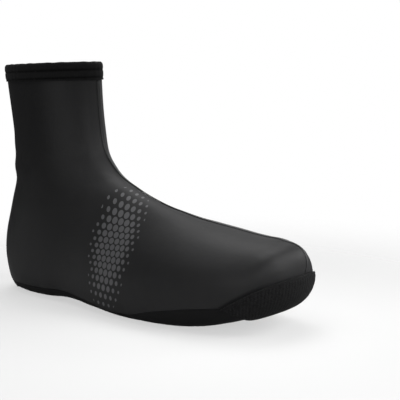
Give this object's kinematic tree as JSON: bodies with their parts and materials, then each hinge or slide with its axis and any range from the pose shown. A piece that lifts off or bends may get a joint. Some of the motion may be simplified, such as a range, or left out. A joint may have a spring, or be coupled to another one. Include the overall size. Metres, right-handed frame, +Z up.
{
  "type": "cycling overshoe",
  "caption": "Right-foot cycling overshoe of coated neoprene with a folded elastic cuff, taped front seam, woven toe guard and a wrap-up sole that is open for the cleat.",
  "frame": {"origin": "on the floor, under the middle of the overshoe's bounding box", "axes": "+X from heel to toe, +Y towards the inner side of the foot, +Z up"},
  "size_m": [0.3092, 0.1076, 0.2055],
  "materials": {
    "neoprene": "satin coated, very fine grain",
    "sole_rubber": "matt, fine textured",
    "elastic": "matt knitted elastic with two rows of stitches",
    "seam_tape": "satin, slightly raised",
    "woven_guard": "coarse woven, matt, stitched along its top edge"
  },
  "bodies": {
    "root": {"upper": "neoprene", "sole": "sole_rubber", "cuff": "elastic", "front_seam": "seam_tape", "toe_guard": "woven_guard"}
  },
  "joints": []
}
